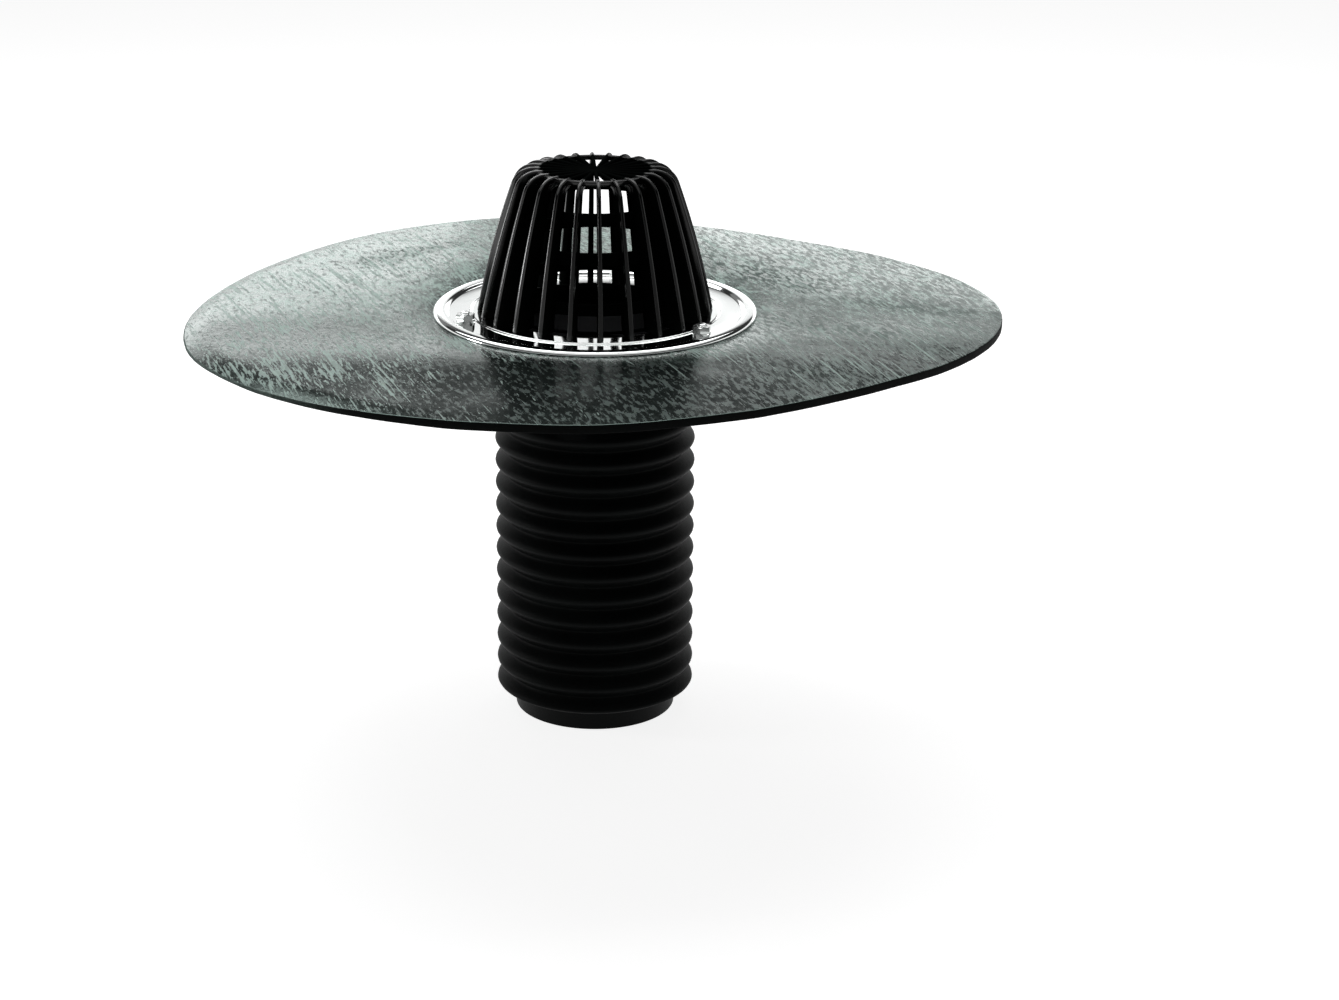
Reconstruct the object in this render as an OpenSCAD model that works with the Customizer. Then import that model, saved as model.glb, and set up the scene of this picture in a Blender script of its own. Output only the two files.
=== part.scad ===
// Flat roof drain: a ribbed leaf guard stands on a clamping ring, which presses a bitumen sheet
// onto the flange of the drain body. A corrugated pipe with a plain spigot hangs from its neck.
// The origin is the centre of the spigot's lower end, with +Z up the pipe. Millimetres.

/* [Outlet pipe] */
// Outside radius of the plain spigot
spigot_r = 50; // [46:0.5:53]
// Length of the plain spigot
spigot_l = 10; // [6:1:60]
// Height of the shoulder, from the spigot to the crest of the lowest ridge
shoulder_h = 6.6; // [5:0.2:10]
// Wall of the pipe
pipe_t = 2; // [1.4:0.1:2.6]
// Outside radius of the ridges
ridge_r = 61.7; // [60.5:0.1:66]
// Depth of the valleys between the ridges
ridge_depth = 6; // [4:0.5:6.5]
// Distance from one ridge to the next
ridge_pitch = 14.5; // [12:0.5:18]
// Number of ridges
ridge_n = 13; // [6:1:20]
// Length of the plain cuff that slides over the neck
cuff_l = 26; // [20:1:40]

/* [Drain body] */
// Outside radius of the neck inside the cuff
neck_r = 53; // [50:0.5:54]
// Wall of the funnel and neck
body_t = 2.5; // [2:0.1:4]
// How far the neck reaches into the cuff
neck_l = 23; // [15:1:25]
// Height of the funnel, from the cuff's end to the underside of the flange
funnel_h = 23.8; // [15:0.2:50]
// How far the edge of the flange lies inside the rim of the clamping ring
flange_inset = 5.5; // [2.5:0.5:8.5]
// Thickness of the flange
flange_t = 3; // [2:0.5:5]

/* [Sheet collar] */
// Mean radius of the hand-cut sheet
sheet_r = 238; // [160:1:300]
// Thickness of the sheet
sheet_t = 5; // [4:0.5:8]
// How much the clamp squeezes the sheet's upper and lower side
squeeze_top = 1.2; // [0.4:0.1:1.5]
squeeze_low = 0.4; // [0.2:0.1:1]
// How far the hole lies off the middle of the sheet
sheet_off = 17; // [0:1:30]
// Depth of the two, three and four lobes of the outline
lobe_2 = 8; // [0:0.5:15]
lobe_3 = 9; // [0:0.5:15]
lobe_4 = 5; // [0:0.5:10]
// How far the free edge hangs below the clamped part
droop = 5; // [0:0.2:30]
// How much one side of the edge hangs lower than the other
edge_tilt = 2.1; // [0:0.1:10]
// Height of the warp that lifts two sides of the edge and lowers the others
edge_warp = 1.9; // [0:0.1:10]
// Height that the sheet rises from the ring before it hangs down
swell = 1.4; // [0:0.1:4]

/* [Clamping ring] */
// Outside radius of the ring
ring_r = 98.5; // [96.5:0.5:110]
// Thickness of the pressed sheet metal
ring_t = 2; // [1.5:0.1:2.5]
// Width of the round bead along the rim
bead_w = 10; // [8.5:0.5:11]
// Height of the bead above the flat part
bead_h = 1.6; // [1:0.1:3]
// Width of the seat for the guard, from the throat to the lip
seat_w = 15.6; // [13:0.2:18]
// Width of the lip that holds the guard in place
lip_w = 2.2; // [1.6:0.1:2.4]
// Height of the lip
lip_h = 0.9; // [0.6:0.1:2]
// Length of the short neck that reaches down the throat
ring_neck_l = 13; // [8:1:15]

/* [Leaf guard] */
// Number of fins
fin_n = 24; // [12:1:28]
// Thickness of a fin
fin_t = 2.1; // [1.6:0.1:2.4]
// Depth of a fin, from its outer to its inner edge, at the foot and below the corner
foot_depth = 16; // [13:0.5:17]
fin_depth = 11.6; // [8:0.2:13]
// Height of the guard above the ring
guard_h = 88.8; // [70:0.2:140]
// Radius at which the fins turn over to the flat top
rim_r = 37; // [30:0.5:40]
// Radius of the corner where they turn over
corner_r = 14.2; // [12.5:0.1:18]
// Lean of the fins where the corner starts, in degrees
corner_lean = 18.8; // [14:0.2:24]
// Outward bulge of the sides between foot and corner
side_bulge = 1.5; // [0:0.1:4]
// Depth of the fins across the top
top_depth = 6; // [4:0.5:9]
// How far the middle of the top lies below the rim
top_dip = 1.6; // [0:0.1:4]
// Radius and thickness of the round hub in the middle
hub_r = 10.4; // [9.6:0.2:16]
hub_t = 3; // [2:0.5:5]
// Turn of the guard about its axis, in degrees
guard_turn = 2.7; // [0:0.1:15]
// Wall of the hoops inside the fins
hoop_t = 2.8; // [1.6:0.1:4]
// Height of the lower, middle and upper hoop
hoop_low_h = 7; // [4:0.2:10]
hoop_mid_h = 7.6; // [4:0.2:10]
hoop_top_h = 4.8; // [4:0.2:10]
// Height of the middle of the lower, middle and upper hoop above the ring
hoop_low_z = 14.4; // [12:0.2:24]
hoop_mid_z = 43.6; // [34:0.2:48]
hoop_top_z = 67.4; // [56:0.2:70]
// Height of the foot hoop, and of the gap that keeps it clear of the ring
foot_hoop_h = 1.4; // [1:0.2:5]
foot_gap = 0.2; // [0.2:0.1:4]

/* [Studs and nuts] */
// Number of studs
stud_n = 3; // [3:1:3]
// Thread radius of a stud
stud_r = 3; // [2.5:0.1:3.2]
// Radius and height of a stud's countersunk head, flush with the underside of the flange
stud_head_r = 5.6; // [5:0.1:6.5]
stud_head_h = 1.8; // [1.2:0.1:1.9]
// Length of thread that stands above the nut
stud_tip = 1.2; // [1:0.2:8]
// Angle of the first stud, in degrees
stud_turn = 199.8; // [0:0.1:360]
// Width across the flats and height of a nut
nut_w = 10; // [9:0.1:10.2]
nut_h = 4; // [3:0.1:6.5]
// Outside radius and thickness of a washer
washer_r = 5.6; // [4.8:0.1:5.6]
washer_t = 1.2; // [1:0.1:2]

/* [Hose clamp] */
// Width of the band
band_w = 12; // [9:0.5:14]
// Thickness of the band
band_t = 0.8; // [0.6:0.1:1]
// Height of the band above the lower end of the cuff
band_lift = 1; // [0.5:0.5:4]
// Angle that the loose end of the band overlaps, in degrees
band_lap = 50; // [30:1:70]
// Turn of the housing about the pipe, in degrees
housing_turn = 257; // [0:1:360]
// Length of the screw housing, along the screw
housing_l = 15; // [12:0.5:18]
// Wall of the housing over the screw
housing_wall = 1.2; // [0.8:0.1:2]
// Outside radius of the screw's thread
screw_r = 3.9; // [3.4:0.1:4.4]
// Width across the flats of the screw's hexagon head
screw_head_w = 7; // [6:0.1:7.2]

/* [Hidden] */
$fn = 96;

// Clearances between pieces
cuff_gap = 0.1;
throat_gap = 0.6;
guard_gap = 2.6;
stud_gap = 0.3;
thread_gap = 0.05;
band_gap = 0.05;
washer_bead_gap = 0.4;
washer_lip_gap = 0.3;

// Directions in degrees of the outline's lobes and of the edge's tilt and warp
off_dir = 123;
lobe_2_dir = -7;
lobe_3_dir = 2;
lobe_4_dir = 8;
tilt_dir = -22;
warp_dir = 72;

// Radii of the ring from its rim inwards: the bead, the band that the washers lie on, the lip
// and the seat, which ends at the throat of the drain body
bead_in_r = ring_r - bead_w;
stud_circle_r = bead_in_r - washer_bead_gap - washer_r;
lip_r = stud_circle_r - washer_r - washer_lip_gap - lip_w;
throat_r = lip_r - seat_w;
flange_r = ring_r - flange_inset;

// Radii that pieces share
cuff_in_r = neck_r + cuff_gap;
cuff_r = cuff_in_r + pipe_t;
valley_r = ridge_r - ridge_depth;
ring_neck_r = throat_r - throat_gap;
guard_foot_r = lip_r - guard_gap;
hole_r = stud_r + stud_gap;
sheet_hole_r = hole_r + stud_gap;
sink_r = stud_head_r + thread_gap;
sink_slope = (stud_head_r - stud_r) / stud_head_h;
band_in_r = cuff_r + band_gap;

// Heights from the spigot upwards. A cuff wider than the valleys starts on a cone at 45 degrees.
first_crest_z = spigot_l + shoulder_h;
last_valley_z = first_crest_z + (ridge_n - 0.5) * ridge_pitch;
cuff_z = last_valley_z + max(0, cuff_r - valley_r);
cuff_top_z = cuff_z + cuff_l;
flange_z = cuff_top_z + funnel_h;
flange_top_z = flange_z + flange_t;
sheet_z = flange_top_z + squeeze_low;
sheet_top_z = sheet_z + sheet_t;
ring_z = sheet_top_z - squeeze_top;
seat_z = ring_z + ring_t;
throat_cone_h = funnel_h - ring_neck_l / 2;
band_z = cuff_z + band_lift;

wave_steps = 10;
arc_steps = 9;

// Points of an arc in the plane of a profile, as [radius, height]
function arc(c, r, a1, a2, n) = [for (i = [0:n]) let (a = a1 + (a2 - a1) * i / n) c + r * [cos(a), sin(a)]];

function reversed(list) = [for (i = [len(list) - 1:-1:0]) list[i]];

// ---------------------------------------------------------------- outlet pipe

// Radius of the pipe's outside at step i of ridge k: crests are rounder than valleys
function ridge_wave(u) = valley_r + ridge_depth * pow((1 - cos(360 * u)) / 2, 0.75);

pipe_outside = concat(
    [[spigot_r, 0], [spigot_r, spigot_l]],
    [for (i = [1:wave_steps / 2]) let (v = i / (wave_steps / 2))
        [spigot_r + (ridge_r - spigot_r) * (1 - cos(180 * v)) / 2, spigot_l + shoulder_h * v]],
    [for (i = [wave_steps / 2 + 1:ridge_n * wave_steps]) let (u = i / wave_steps)
        [ridge_wave(u), first_crest_z + (u - 0.5) * ridge_pitch]],
    [[cuff_r, max(cuff_z, last_valley_z + pipe_t / 2)], [cuff_r, cuff_top_z]]);

// The inside keeps its last valley only where the cuff is wider
inside_steps = ridge_n * wave_steps - (cuff_z > last_valley_z ? 0 : 1);

pipe_inside = concat(
    [[spigot_r - pipe_t, 0], [spigot_r - pipe_t, spigot_l + pipe_t]],
    [for (i = [1:wave_steps / 2]) let (v = i / (wave_steps / 2))
        [spigot_r - pipe_t + (ridge_r - spigot_r) * (1 - cos(180 * v)) / 2,
         spigot_l + pipe_t + (shoulder_h - pipe_t) * v]],
    [for (i = [wave_steps / 2 + 1:inside_steps]) let (u = i / wave_steps)
        [ridge_wave(u) - pipe_t, first_crest_z + (u - 0.5) * ridge_pitch]],
    [[cuff_in_r, cuff_z], [cuff_in_r, cuff_top_z]]);

module flexible_pipe() {
    color([0.05, 0.055, 0.055])
        rotate_extrude() polygon(concat(pipe_outside, reversed(pipe_inside)));
}

// ---------------------------------------------------------------- drain body

body_outside = [
    [neck_r, cuff_top_z - neck_l],
    [neck_r, cuff_top_z],
    [cuff_r, cuff_top_z],
    [throat_r + body_t, cuff_top_z + throat_cone_h],
    [throat_r + body_t, flange_z],
    [flange_r, flange_z],
    [flange_r, flange_top_z]];

body_inside = [
    [neck_r - body_t, cuff_top_z - neck_l],
    [neck_r - body_t, cuff_top_z + body_t],
    [throat_r, cuff_top_z + throat_cone_h],
    [throat_r, flange_top_z - body_t / 2],
    [throat_r + body_t / 2, flange_top_z]];

// Children at each of the stud places
module at_stud(k) {
    rotate([0, 0, stud_turn + k * 360 / stud_n]) translate([stud_circle_r, 0, 0]) children();
}

module stud_holes(r, z1, z2) {
    for (k = [0:stud_n - 1]) at_stud(k) translate([0, 0, z1]) cylinder(r = r, h = z2 - z1);
}

module drain_body() {
    color([0.62, 0.64, 0.65]) difference() {
        rotate_extrude() polygon(concat(body_outside, reversed(body_inside)));
        stud_holes(hole_r, flange_z - 1, flange_top_z + 1);
        for (k = [0:stud_n - 1]) at_stud(k) translate([0, 0, flange_z - 1])
            cylinder(r1 = sink_r + sink_slope, r2 = stud_r + thread_gap, h = stud_head_h + 1);
    }
}

// ---------------------------------------------------------------- sheet collar

sheet_segments = 72;
sheet_rings = 9;
sheet_in_r = throat_r + body_t;
edge_round = 0.8;

// Outline of the hand-cut sheet: a circle with the hole off centre and a few soft lobes
function sheet_edge_r(a) = sheet_r + sheet_off * cos(a - off_dir) + lobe_2 * cos(2 * (a - lobe_2_dir))
    + lobe_3 * cos(3 * (a - lobe_3_dir)) + lobe_4 * cos(4 * (a - lobe_4_dir));

// Height of the sheet's face over its clamped level, at angle a and share t of the way outwards
function sheet_rise(a, t) = swell * (1 - pow(1 - min(1, 3 * t), 3))
    - t * t * (droop - edge_tilt * cos(a - tilt_dir) - edge_warp * cos(2 * (a - warp_dir)));

// One closed section of the sheet at angle a, from the hole along the top and back underneath
function sheet_section(a) = let (edge_r = sheet_edge_r(a), out_r = ring_r + 1)
    concat(
        [[sheet_in_r, ring_z], [flange_r, ring_z]],
        [for (i = [0:sheet_rings]) let (t = i / sheet_rings)
            [out_r + (edge_r - edge_round - out_r) * t, sheet_top_z + sheet_rise(a, t)]],
        [[edge_r, sheet_top_z + sheet_rise(a, 1) - edge_round],
         [edge_r, sheet_z + sheet_rise(a, 1) + edge_round]],
        [for (i = [sheet_rings:-1:0]) let (t = i / sheet_rings)
            [out_r + (edge_r - edge_round - out_r) * t, sheet_z + sheet_rise(a, t)]],
        [[flange_r + squeeze_low, flange_top_z], [sheet_in_r, flange_top_z]]);

section_n = len(sheet_section(0));

sheet_points = [for (s = [0:sheet_segments - 1]) let (a = s * 360 / sheet_segments)
    for (p = sheet_section(a)) [p[0] * cos(a), p[0] * sin(a), p[1]]];

sheet_faces = [for (s = [0:sheet_segments - 1]) for (i = [0:section_n - 1])
    let (s2 = (s + 1) % sheet_segments, i2 = (i + 1) % section_n,
         p = s * section_n, q = s2 * section_n)
    for (f = [[p + i, p + i2, q + i2], [p + i, q + i2, q + i]]) f];

module sheet_collar() {
    color([0.13, 0.15, 0.14]) difference() {
        polyhedron(points = sheet_points, faces = sheet_faces, convexity = 6);
        stud_holes(sheet_hole_r, flange_top_z - 1, ring_z + 1);
    }
}

// ---------------------------------------------------------------- clamping ring

bead_top_z = seat_z + bead_h;
neck_bend_r = 4;

ring_outline = concat(
    [[ring_neck_r - ring_t, ring_z - ring_neck_l + ring_t]],
    arc([ring_neck_r + neck_bend_r - ring_t / 2, seat_z - neck_bend_r - ring_t / 2],
        neck_bend_r + ring_t / 2, 180, 90, arc_steps),
    [[lip_r, seat_z], [lip_r + lip_w * 0.25, seat_z + lip_h], [lip_r + lip_w * 0.75, seat_z + lip_h],
     [lip_r + lip_w, seat_z], [bead_in_r, seat_z]],
    [for (i = [1:arc_steps]) let (u = i / arc_steps)
        [bead_in_r + bead_w * 0.3 * u, seat_z + bead_h * (1 - cos(180 * u)) / 2]],
    [for (i = [1:arc_steps]) let (a = 90 * i / arc_steps)
        [ring_r - bead_w * 0.35 * (1 - sin(a)), sheet_top_z + (bead_top_z - sheet_top_z) * cos(a)]],
    [[ring_r - ring_t, sheet_top_z], [ring_r - ring_t, sheet_top_z + 0.2],
     [bead_in_r + bead_w * 0.3, sheet_top_z + 0.2],
     [bead_in_r, ring_z], [ring_neck_r + neck_bend_r, ring_z]],
    arc([ring_neck_r + neck_bend_r - ring_t / 2, seat_z - neck_bend_r - ring_t / 2],
        neck_bend_r - ring_t / 2, 90, 180, arc_steps),
    [[ring_neck_r, ring_z - ring_neck_l + ring_t], [ring_neck_r - ring_t / 2, ring_z - ring_neck_l]]);

module clamping_ring() {
    color([0.88, 0.9, 0.9]) difference() {
        rotate_extrude() polygon(ring_outline);
        stud_holes(hole_r, ring_z - 1, seat_z + 1);
    }
}

// ---------------------------------------------------------------- leaf guard

corner_c = [rim_r, guard_h - corner_r];
corner_start = corner_c + corner_r * [cos(corner_lean), sin(corner_lean)];
hub_top = guard_h - top_dip;

// Outer edge of the sides, bulged between the foot and the corner
function side_point(t) = let (foot = [guard_foot_r, 0], chord = corner_start - foot,
        out = [chord[1], -chord[0]] / norm(chord))
    foot + t * chord + 4 * side_bulge * t * (1 - t) * out;

// Radius of the outer edge at height z, along the chord
function side_r(z) = side_point(z / corner_start[1])[0];

// Radius of the fins' inner edge at height z
function inner_r(z) = side_r(z) - foot_depth + (foot_depth - fin_depth) * z / corner_start[1];

hoop_grip = 1;
inner_corner_r = 5;
inner_corner_z = guard_h - top_depth - inner_corner_r;
inner_corner_c = [inner_r(inner_corner_z) - inner_corner_r, inner_corner_z];

fin_outline = concat(
    [for (i = [0:arc_steps]) side_point(i / arc_steps)],
    arc(corner_c, corner_r, corner_lean + 6, 90, arc_steps),
    [[hub_r - 1, hub_top], [hub_r - 1, hub_top - top_depth * 0.6]],
    arc(inner_corner_c, inner_corner_r, 90, 0, 4),
    [for (i = [arc_steps - 2:-1:0]) let (z = inner_corner_z * i / (arc_steps - 1)) [inner_r(z), z]]);

module fin() {
    rotate([90, 0, 0]) translate([0, 0, -fin_t / 2]) linear_extrude(height = fin_t) polygon(fin_outline);
}

// A hoop on the inner edges of the fins and sunk into them by hoop_grip, with its middle at height z
module hoop(z, h) {
    in_r = inner_r(z) + hoop_grip - hoop_t;
    translate([0, 0, z - h / 2]) difference() {
        cylinder(r = in_r + hoop_t, h = h);
        translate([0, 0, -1]) cylinder(r = in_r, h = h + 2);
    }
}

module leaf_guard() {
    color([0.04, 0.045, 0.045]) translate([0, 0, seat_z]) rotate([0, 0, guard_turn]) union() {
        for (k = [0:fin_n - 1]) rotate([0, 0, 90 + k * 360 / fin_n]) fin();
        hoop(foot_gap + foot_hoop_h / 2, foot_hoop_h);
        hoop(hoop_low_z, hoop_low_h);
        hoop(hoop_mid_z, hoop_mid_h);
        hoop(hoop_top_z, hoop_top_h);
        // The rim hoop ties the fins where they turn over
        translate([0, 0, guard_h - 1 - hoop_t]) difference() {
            cylinder(r = rim_r + 1, h = hoop_t);
            translate([0, 0, -1]) cylinder(r = rim_r + 1 - hoop_t, h = hoop_t + 2);
        }
        translate([0, 0, hub_top - hub_t]) cylinder(r = hub_r, h = hub_t + 0.2);
    }
}

// ---------------------------------------------------------------- studs, washers and nuts

nut_z = seat_z + washer_t;

module stud(k) {
    color([0.75, 0.77, 0.78]) at_stud(k) translate([0, 0, flange_z]) {
        cylinder(r1 = stud_head_r, r2 = stud_r, h = stud_head_h);
        cylinder(r = stud_r, h = nut_z + nut_h + stud_tip - flange_z - 0.6);
        translate([0, 0, nut_z + nut_h + stud_tip - flange_z - 0.6])
            cylinder(r1 = stud_r, r2 = stud_r - 0.6, h = 0.6);
    }
}

module washer(k) {
    color([0.78, 0.8, 0.8]) at_stud(k) translate([0, 0, seat_z]) difference() {
        cylinder(r = washer_r, h = washer_t);
        translate([0, 0, -1]) cylinder(r = hole_r, h = washer_t + 2);
    }
}

// Hexagon prism whose corners are turned off at both ends
module hexagon(w, h) {
    corner = w / 2 / cos(30);
    cut = (corner - w / 2) * 0.9;
    intersection() {
        cylinder(r = corner, h = h, $fn = 6);
        rotate_extrude() polygon([[0, 0], [corner - cut, 0], [corner, cut * 0.6],
            [corner, h - cut * 0.6], [corner - cut, h], [0, h]]);
    }
}

module nut(k) {
    color([0.8, 0.82, 0.82]) at_stud(k) translate([0, 0, nut_z]) difference() {
        hexagon(nut_w, nut_h);
        translate([0, 0, -1]) cylinder(r = stud_r + thread_gap, h = nut_h + 2);
    }
}

// ---------------------------------------------------------------- hose clamp

// The loose end lies on the band, sunk into it a little where the two are one piece
lap_in_r = band_in_r + band_t * 0.9;
lap_out_r = lap_in_r + band_t;
lap_back = band_lap / 3;
screw_x = lap_out_r + screw_r + 0.1;
screw_z = band_z + band_w / 2;
slot_step = 3;

module clamp_band() {
    color([0.7, 0.72, 0.73]) rotate([0, 0, housing_turn]) translate([0, 0, band_z]) {
        difference() {
            cylinder(r = band_in_r + band_t, h = band_w);
            translate([0, 0, -1]) cylinder(r = band_in_r, h = band_w + 2);
        }
        // The loose end runs under the screw and carries the slots that the thread grips
        difference() {
            rotate([0, 0, -lap_back]) rotate_extrude(angle = lap_back + band_lap)
                translate([lap_in_r, 0]) square([band_t, band_w]);
            for (a = [slot_step - lap_back:slot_step:band_lap - slot_step]) rotate([0, 0, a])
                translate([lap_out_r, 0, band_w / 2]) cube([band_t, 1, band_w * 0.6], center = true);
        }
    }
}

module clamp_housing() {
    color([0.74, 0.76, 0.77]) rotate([0, 0, housing_turn]) difference() {
        translate([band_in_r - 1, -housing_l / 2, band_z])
            cube([screw_x + screw_r + housing_wall - band_in_r + 1, housing_l, band_w]);
        // The saddle sits on the loose end of the band
        translate([0, 0, band_z - 1]) cylinder(r = lap_out_r, h = band_w + 2);
        translate([screw_x, 0, screw_z]) rotate([90, 0, 0])
            cylinder(r = screw_r + thread_gap, h = housing_l + 2, center = true);
    }
}

module clamp_screw() {
    head_h = 4.5;
    slot_w = 1.2;
    color([0.8, 0.81, 0.82]) rotate([0, 0, housing_turn]) translate([screw_x, 0, screw_z]) {
        rotate([90, 0, 0]) cylinder(r = screw_r, h = housing_l, center = true);
        translate([0, -housing_l / 2, 0]) rotate([90, 0, 0]) difference() {
            hexagon(screw_head_w, head_h);
            translate([-screw_head_w, -slot_w / 2, head_h - slot_w])
                cube([2 * screw_head_w, slot_w, slot_w + 1]);
        }
    }
}

leaf_guard();
clamping_ring();
sheet_collar();
drain_body();
flexible_pipe();
clamp_band();
clamp_housing();
clamp_screw();
stud(0);  // stud_1
stud(1);  // stud_2
stud(2);  // stud_3
washer(0);  // washer_1
washer(1);  // washer_2
washer(2);  // washer_3
nut(0);  // nut_1
nut(1);  // nut_2
nut(2);  // nut_3
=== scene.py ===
import math

import bmesh
import bpy
from mathutils import Matrix, Vector, noise


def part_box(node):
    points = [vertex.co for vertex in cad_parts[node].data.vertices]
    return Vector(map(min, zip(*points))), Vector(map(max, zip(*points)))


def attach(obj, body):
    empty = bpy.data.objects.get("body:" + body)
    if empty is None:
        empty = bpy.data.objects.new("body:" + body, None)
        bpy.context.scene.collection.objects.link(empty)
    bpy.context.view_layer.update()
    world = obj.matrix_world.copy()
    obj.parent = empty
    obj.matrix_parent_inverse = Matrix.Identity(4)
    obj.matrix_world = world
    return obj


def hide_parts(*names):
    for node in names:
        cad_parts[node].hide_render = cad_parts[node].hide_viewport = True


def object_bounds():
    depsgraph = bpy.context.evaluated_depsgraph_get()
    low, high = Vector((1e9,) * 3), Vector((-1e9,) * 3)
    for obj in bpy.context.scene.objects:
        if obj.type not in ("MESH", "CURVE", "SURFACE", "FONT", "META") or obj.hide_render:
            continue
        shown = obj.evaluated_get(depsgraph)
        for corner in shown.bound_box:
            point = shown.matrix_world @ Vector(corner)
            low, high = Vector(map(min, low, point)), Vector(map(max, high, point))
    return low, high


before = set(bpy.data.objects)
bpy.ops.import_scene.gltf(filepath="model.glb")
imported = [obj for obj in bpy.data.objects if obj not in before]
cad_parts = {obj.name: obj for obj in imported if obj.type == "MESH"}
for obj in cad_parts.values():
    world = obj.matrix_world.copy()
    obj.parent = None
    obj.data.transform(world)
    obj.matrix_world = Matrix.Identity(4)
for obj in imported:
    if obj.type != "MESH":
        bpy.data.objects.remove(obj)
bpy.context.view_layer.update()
print("frame loaded:", len(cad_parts), "nodes")

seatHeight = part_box("leaf_guard")[0].z  # the ring's flat face, which the guard stands on
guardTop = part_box("leaf_guard")[1].z
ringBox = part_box("clamping_ring")
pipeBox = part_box("flexible_pipe")
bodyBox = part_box("drain_body")
ringThickness = 0.002
sheetTop = seatHeight - 0.0008  # free face of the sheet beside the ring


# shaping helpers
def arcPoints(centre, radius, start, end, steps):
    angles = [math.radians(start + (end - start) * i / steps) for i in range(steps + 1)]
    return [(centre[0] + radius * math.cos(a), centre[1] + radius * math.sin(a)) for a in angles]


def turnOutline(outline, steps):
    bm = bmesh.new()
    verts = [bm.verts.new((r, 0, z)) for r, z in outline]
    edges = [bm.edges.new(pair) for pair in zip(verts, verts[1:] + verts[:1])]
    bmesh.ops.spin(bm, geom=verts + edges, cent=(0, 0, 0), axis=(0, 0, 1), angle=math.tau,
                   steps=steps, use_merge=True)
    bmesh.ops.remove_doubles(bm, verts=bm.verts, dist=1e-7)
    bmesh.ops.recalc_face_normals(bm, faces=bm.faces)
    return bm


def addInto(bm, other):
    carrier = bpy.data.meshes.new("carrier")
    other.to_mesh(carrier)
    other.free()
    bm.from_mesh(carrier)
    bpy.data.meshes.remove(carrier)


def roundSharpEdges(bm, size, segments=2, angle=40):
    least = math.radians(angle)
    sharp = [e for e in bm.edges if len(e.link_faces) == 2 and e.calc_face_angle(0) > least]
    bmesh.ops.bevel(bm, geom=sharp, offset=size, offset_type="OFFSET", segments=segments, profile=0.5,
                    affect="EDGES", clamp_overlap=True, material=-1)


def finishPiece(name, bm, finishes, nodes, smoothAngle=38):
    mesh = bpy.data.meshes.new(name)
    bm.to_mesh(mesh)
    bm.free()
    mesh.shade_smooth()
    mesh.set_sharp_from_angle(angle=math.radians(smoothAngle))
    for finish in finishes:
        mesh.materials.append(finish)
    piece = bpy.data.objects.new(name, mesh)
    bpy.context.scene.collection.objects.link(piece)
    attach(piece, "root")
    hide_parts(*nodes)
    print(name, "has", sum(len(p.vertices) - 2 for p in mesh.polygons), "triangles")


# shader helpers
class Wire:
    # a socket that can stand in sums: mask * 2 + 1 adds the Math nodes
    def __init__(self, finish, socket):
        self.finish, self.socket = finish, socket

    def math(self, operation, a, b, clamp=False):
        return self.finish.node("ShaderNodeMath", {"operation": operation, "use_clamp": clamp},
                                {0: a, 1: b})

    def __add__(self, other):
        return self.math("ADD", self, other)

    def __sub__(self, other):
        return self.math("SUBTRACT", self, other)

    def __rsub__(self, other):
        return self.math("SUBTRACT", other, self)

    def __mul__(self, other):
        return self.math("MULTIPLY", self, other)

    def power(self, other):
        return self.math("POWER", self, other)

    def clamped(self):
        return self.math("ADD", self, 0.0, clamp=True)

    def between(self, low, high):  # 0 below low, 1 above high, soft in between
        return self.finish.node("ShaderNodeMapRange", {"interpolation_type": "SMOOTHSTEP"},
                                {"Value": self, "From Min": low, "From Max": high})

    __radd__ = __add__
    __rmul__ = __mul__


class Finish:
    def __init__(self, owner):
        owner.use_nodes = True
        self.owner, self.tree = owner, owner.node_tree
        self.tree.nodes.clear()

    def node(self, kind, settings=None, sockets=None, output=0):
        made = self.tree.nodes.new(kind)
        for key, value in (settings or {}).items():
            setattr(made, key, value)
        for key, value in (sockets or {}).items():
            if isinstance(value, Wire):
                self.tree.links.new(value.socket, made.inputs[key])
            else:
                made.inputs[key].default_value = value
        return Wire(self, made.outputs[output]) if made.outputs else made

    def place(self, scale=(1, 1, 1), turn=0.0, shift=(0, 0, 0)):
        # the object's own metres, turned first and stretched after
        where = self.node("ShaderNodeTexCoord", output="Object")
        turned = self.node("ShaderNodeMapping", {"vector_type": "POINT"},
                           {"Vector": where, "Rotation": (0, 0, math.radians(turn)), "Location": shift})
        return self.node("ShaderNodeVectorMath", {"operation": "MULTIPLY"}, {0: turned, 1: scale})

    def axes(self, where):  # x, y and z
        split = self.node("ShaderNodeSeparateXYZ", {}, {"Vector": where})
        return [Wire(self, socket) for socket in split.socket.node.outputs]

    def rays(self):  # seen by the camera, in a mirror and through glass
        kinds = ("Is Camera Ray", "Is Glossy Ray", "Is Transmission Ray")
        return [self.node("ShaderNodeLightPath", output=kind) for kind in kinds]

    def noise(self, where, scale, detail, rough):
        return self.node("ShaderNodeTexNoise", {"noise_dimensions": "3D"},
                         {"Vector": where, "Scale": scale, "Detail": detail, "Roughness": rough})

    def mixColour(self, share, a, b):
        a, b = [c if isinstance(c, Wire) else (*c, 1) for c in (a, b)]
        return self.node("ShaderNodeMix", {"data_type": "RGBA", "blend_type": "MIX"},
                         {0: share, 6: a, 7: b}, output=2)

    def bump(self, height, strength, distance):
        return self.node("ShaderNodeBump", {},
                         {"Height": height, "Strength": strength, "Distance": distance})

    def surface(self, **sockets):
        named = {key.replace("_", " "): value for key, value in sockets.items()}
        shader = self.node("ShaderNodeBsdfPrincipled", {}, named)
        self.node("ShaderNodeOutputMaterial", {}, {"Surface": shader})
        return self.owner


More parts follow.
